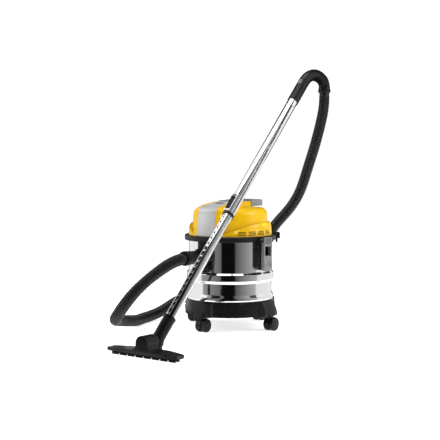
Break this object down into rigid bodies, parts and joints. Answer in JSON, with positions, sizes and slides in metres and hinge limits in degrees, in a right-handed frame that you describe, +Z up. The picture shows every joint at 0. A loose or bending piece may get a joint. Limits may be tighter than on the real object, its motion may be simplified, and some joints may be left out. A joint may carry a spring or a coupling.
{
  "type": "wet and dry vacuum cleaner",
  "caption": "Canister wet and dry vacuum cleaner: steel drum on swivel castors, lift-off motor head, corrugated hose, telescopic wand with curved grip, and bristled floor nozzle.",
  "frame": {"origin": "on the floor under the middle of the whole set, drum, wand and nozzle, without the hose", "axes": "+Z up, +Y from the floor nozzle and the inlet towards the back of the machine, +X to the right seen from the front"},
  "size_m": [0.6173, 1.0887, 0.9398],
  "materials": {
    "polished_steel": "mirror polished stainless sheet",
    "chrome_tube": "bright chrome plating",
    "yellow_plastic": "satin moulded plastic",
    "black_plastic": "fine grained black plastic",
    "dark_plastic": "fine grained dark grey plastic",
    "mid_grey_plastic": "satin mid grey plastic",
    "light_grey_plastic": "satin light grey plastic",
    "hose_plastic": "corrugated flexible black plastic",
    "seal_rubber": "soft black rubber",
    "wheel_plastic": "hard black plastic",
    "zinc_steel": "zinc plated steel",
    "black_steel": "blackened steel",
    "copper_winding": "wound copper and laminations",
    "filter_paper": "pleated filter paper",
    "bristle": "stiff black nylon tufts"
  },
  "bodies": {
    "tank": {"drum": "polished_steel", "base": "black_plastic", "base_screws": "zinc_steel", "inlet_port": "black_plastic", "inlet_gasket": "seal_rubber", "inlet_screws": "black_steel", "inlet_deflector": "dark_plastic", "latch_keeper_left": "black_plastic", "latch_keeper_right": "black_plastic", "hose": "hose_plastic"},
    "inlet_cuff": {"hose_cuff_lower": "black_plastic"},
    "head": {"collar": "dark_plastic", "drum_seal": "seal_rubber", "motor_plate": "black_plastic", "head_shell": "yellow_plastic", "front_panel": "light_grey_plastic", "carry_handle": "mid_grey_plastic", "motor_can": "zinc_steel", "motor_bearings": "zinc_steel", "fan_shroud": "dark_plastic", "float_cage": "light_grey_plastic", "filter": "filter_paper", "exhaust_filter": "seal_rubber", "cable_gland": "black_plastic", "cable_hook": "black_plastic", "head_screws": "zinc_steel", "latch_pin_left": "zinc_steel", "latch_pin_right": "zinc_steel"},
    "switch": {"power_switch": "mid_grey_plastic"},
    "rotor": {"motor_rotor": "copper_winding", "impeller": "light_grey_plastic"},
    "float": {"float_ball": "yellow_plastic"},
    "latch_left": {"latch_lever_left": "mid_grey_plastic"},
    "latch_right": {"latch_lever_right": "mid_grey_plastic"},
    "wand": {"upper_tube": "chrome_tube", "catch_sleeve": "chrome_tube", "catch_ring": "black_plastic", "grip": "black_plastic"},
    "catch": {"catch_button": "black_plastic"},
    "bleed": {"bleed_slider": "mid_grey_plastic"},
    "grip_cuff": {"hose_cuff_upper": "dark_plastic"},
    "wand_lower": {"lower_tube": "chrome_tube", "elbow": "black_plastic", "swivel_ring": "dark_plastic"},
    "nozzle": {"nozzle_shell": "black_plastic", "nozzle_sole": "dark_plastic", "front_bristles": "bristle", "rear_bristles": "bristle"},
    "castor_front": {"castor_front_yoke": "black_plastic", "castor_front_axle": "black_steel"},
    "castor_front_roller": {"castor_front_wheels": "wheel_plastic"},
    "castor_right": {"castor_right_yoke": "black_plastic", "castor_right_axle": "black_steel"},
    "castor_right_roller": {"castor_right_wheels": "wheel_plastic"},
    "castor_back": {"castor_back_yoke": "black_plastic", "castor_back_axle": "black_steel"},
    "castor_back_roller": {"castor_back_wheels": "wheel_plastic"},
    "castor_left": {"castor_left_yoke": "black_plastic", "castor_left_axle": "black_steel"},
    "castor_left_roller": {"castor_left_wheels": "wheel_plastic"}
  },
  "joints": [
    {"name": "head_lift", "type": "slide", "parent": "tank", "child": "head", "axis": [0, 0, 1], "range_m": [0, 0.14]},
    {"name": "switch_rock", "type": "hinge", "parent": "head", "child": "switch", "pos_m": [-0.049, 0.05797, 0.44699], "axis": [1, 0, 0], "range_deg": [0, 16]},
    {"name": "rotor_spin", "type": "hinge", "parent": "head", "child": "rotor", "pos_m": [-0.049, 0.12, 0.37], "axis": [0, 0, 1], "continuous": true},
    {"name": "float_rise", "type": "slide", "parent": "head", "child": "float", "axis": [0, 0, 1], "range_m": [0, 0.016]},
    {"name": "latch_left_swing", "type": "hinge", "parent": "head", "child": "latch_left", "pos_m": [-0.22851, 0.14683, 0.328], "axis": [0.1478, 0.989, 0], "range_deg": [0, 60]},
    {"name": "latch_right_swing", "type": "hinge", "parent": "head", "child": "latch_right", "pos_m": [0.13051, 0.09317, 0.328], "axis": [-0.1478, -0.989, 0], "range_deg": [0, 60]},
    {"name": "inlet_twist", "type": "hinge", "parent": "tank", "child": "inlet_cuff", "pos_m": [-0.049, -0.08, 0.268], "axis": [0, -1, 0], "range_deg": [0, 30]},
    {"name": "wand_lift", "type": "slide", "parent": "tank", "child": "wand", "axis": [0, 0, 1], "range_m": [0, 0.15], "deforming": ["hose"]},
    {"name": "telescope", "type": "slide", "parent": "wand", "child": "wand_lower", "axis": [0, 0.7071, 0.7071], "range_m": [0, 0.24]},
    {"name": "catch_press", "type": "slide", "parent": "wand", "child": "catch", "axis": [0, 0.7071, 0.7071], "range_m": [0, 0.008], "stiffness_N_per_m": 200},
    {"name": "bleed_slide", "type": "slide", "parent": "wand", "child": "bleed", "axis": [0, 0.7071, 0.7071], "range_m": [0, 0.003]},
    {"name": "grip_swivel", "type": "hinge", "parent": "wand", "child": "grip_cuff", "pos_m": [0.101, 0.51909, 0.862], "axis": [0, 0, 1], "continuous": true},
    {"name": "nozzle_tilt", "type": "hinge", "parent": "wand_lower", "child": "nozzle", "pos_m": [0.101, -0.48661, 0.04596], "axis": [0, 1, 0], "range_deg": [-40, 40]},
    {"name": "castor_front_swivel", "type": "hinge", "parent": "tank", "child": "castor_front", "pos_m": [-0.049, -0.052, 0.05], "axis": [0, 0, 1], "continuous": true},
    {"name": "castor_front_roll", "type": "hinge", "parent": "castor_front", "child": "castor_front_roller", "pos_m": [-0.049, -0.04, 0.024], "axis": [1, 0, 0], "continuous": true},
    {"name": "castor_right_swivel", "type": "hinge", "parent": "tank", "child": "castor_right", "pos_m": [0.123, 0.12, 0.05], "axis": [0, 0, 1], "continuous": true},
    {"name": "castor_right_roll", "type": "hinge", "parent": "castor_right", "child": "castor_right_roller", "pos_m": [0.123, 0.132, 0.024], "axis": [1, 0, 0], "continuous": true},
    {"name": "castor_back_swivel", "type": "hinge", "parent": "tank", "child": "castor_back", "pos_m": [-0.049, 0.292, 0.05], "axis": [0, 0, 1], "continuous": true},
    {"name": "castor_back_roll", "type": "hinge", "parent": "castor_back", "child": "castor_back_roller", "pos_m": [-0.049, 0.304, 0.024], "axis": [1, 0, 0], "continuous": true},
    {"name": "castor_left_swivel", "type": "hinge", "parent": "tank", "child": "castor_left", "pos_m": [-0.221, 0.12, 0.05], "axis": [0, 0, 1], "continuous": true},
    {"name": "castor_left_roll", "type": "hinge", "parent": "castor_left", "child": "castor_left_roller", "pos_m": [-0.221, 0.132, 0.024], "axis": [1, 0, 0], "continuous": true}
  ]
}
